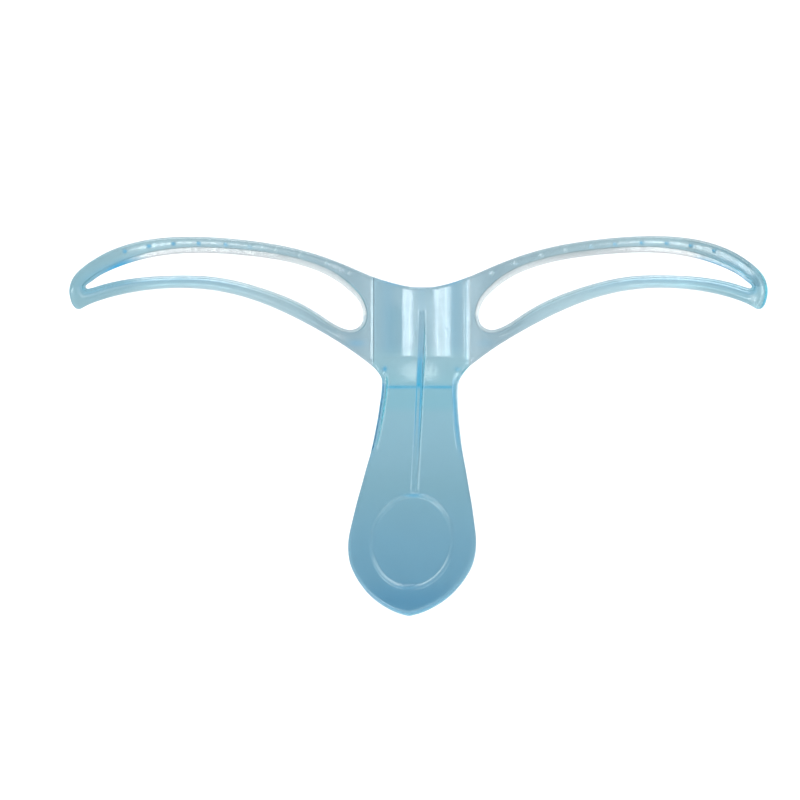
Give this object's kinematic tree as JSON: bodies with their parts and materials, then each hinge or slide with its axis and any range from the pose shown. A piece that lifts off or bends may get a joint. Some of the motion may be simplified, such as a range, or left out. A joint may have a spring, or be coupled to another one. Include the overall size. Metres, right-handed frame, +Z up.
{
  "type": "dental cheek retractor",
  "caption": "Clear light-blue dental cheek retractor with looped spring wings, a central channel and a paddle handle with a thumb pad.",
  "frame": {"origin": "on the plane of symmetry, at the height of the handle's point and midway between the front-most and rear-most surfaces", "axes": "+X to the right along the wings' span, +Z up from the handle's point to the wings, front (the side the handle leans to) is -Y"},
  "size_m": [0.14, 0.023, 0.0751],
  "materials": {
    "clear_blue": "gloss"
  },
  "bodies": {
    "handle_body": {"saddle_channel": "clear_blue", "neck_ramp": "clear_blue", "handle_blade": "clear_blue", "centre_rib": "clear_blue", "flange_left": "clear_blue", "flange_right": "clear_blue", "thumb_ring": "clear_blue"},
    "wing_left": {"wing_root_left": "clear_blue", "rail_upper_left": "clear_blue", "rail_lower_left": "clear_blue", "wing_tip_left": "clear_blue", "pips_left": "clear_blue"},
    "wing_right": {"wing_root_right": "clear_blue", "rail_upper_right": "clear_blue", "rail_lower_right": "clear_blue", "wing_tip_right": "clear_blue", "pips_right": "clear_blue"}
  },
  "joints": [
    {"name": "wing_flex_left", "type": "hinge", "parent": "handle_body", "child": "wing_left", "pos_m": [-0.01, 0.00835, 0.0588], "axis": [0, 0, -1], "range_deg": [-8, 35], "stiffness_Nm_per_rad": 0.12},
    {"name": "wing_flex_right", "type": "hinge", "parent": "handle_body", "child": "wing_right", "pos_m": [0.01, 0.00835, 0.0588], "axis": [0, 0, 1], "range_deg": [-8, 35], "stiffness_Nm_per_rad": 0.12}
  ]
}
